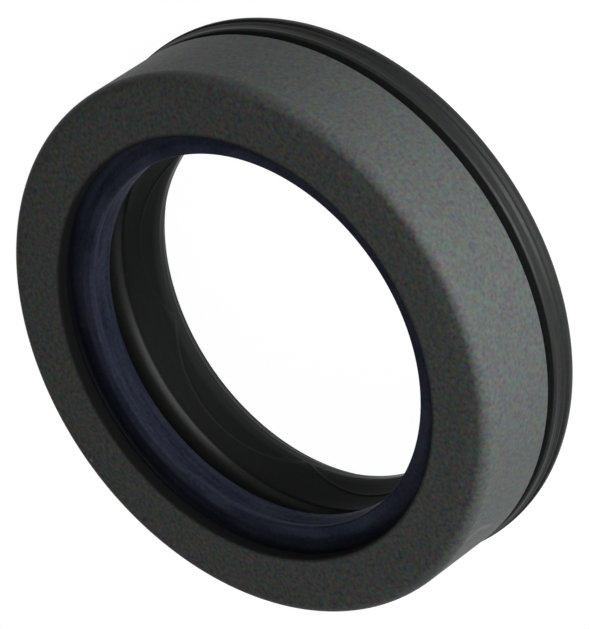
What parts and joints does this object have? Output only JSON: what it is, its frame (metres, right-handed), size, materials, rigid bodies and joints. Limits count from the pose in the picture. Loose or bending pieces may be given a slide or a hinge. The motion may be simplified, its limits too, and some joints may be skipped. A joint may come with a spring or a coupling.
{
  "type": "radial shaft seal",
  "caption": "Round shaft seal: a grey steel case round a blue dust wiper and a black spring-loaded rubber lip, with a beaded rubber outside.",
  "frame": {"origin": "on the shaft axis, in the plane of the rear rubber face that the seal lies on", "axes": "+Z along the shaft axis, from the oil side towards the air side and the front plate; +X through the peak of one pumping rib"},
  "size_m": [0.0658, 0.0658, 0.017],
  "materials": {
    "case_steel": "matte grey, fine-grained phosphate coat on drawn steel",
    "wiper_polyurethane": "satin dark blue moulded polyurethane",
    "body_rubber": "satin black moulded nitrile rubber",
    "insert_steel": "dull phosphated steel",
    "spring_wire": "drawn spring steel wire, close wound"
  },
  "bodies": {
    "root": {"outer_case": "case_steel", "wiper_ring": "wiper_polyurethane", "rubber_body": "body_rubber", "insert_ring": "insert_steel", "garter_spring": "spring_wire"}
  },
  "joints": []
}
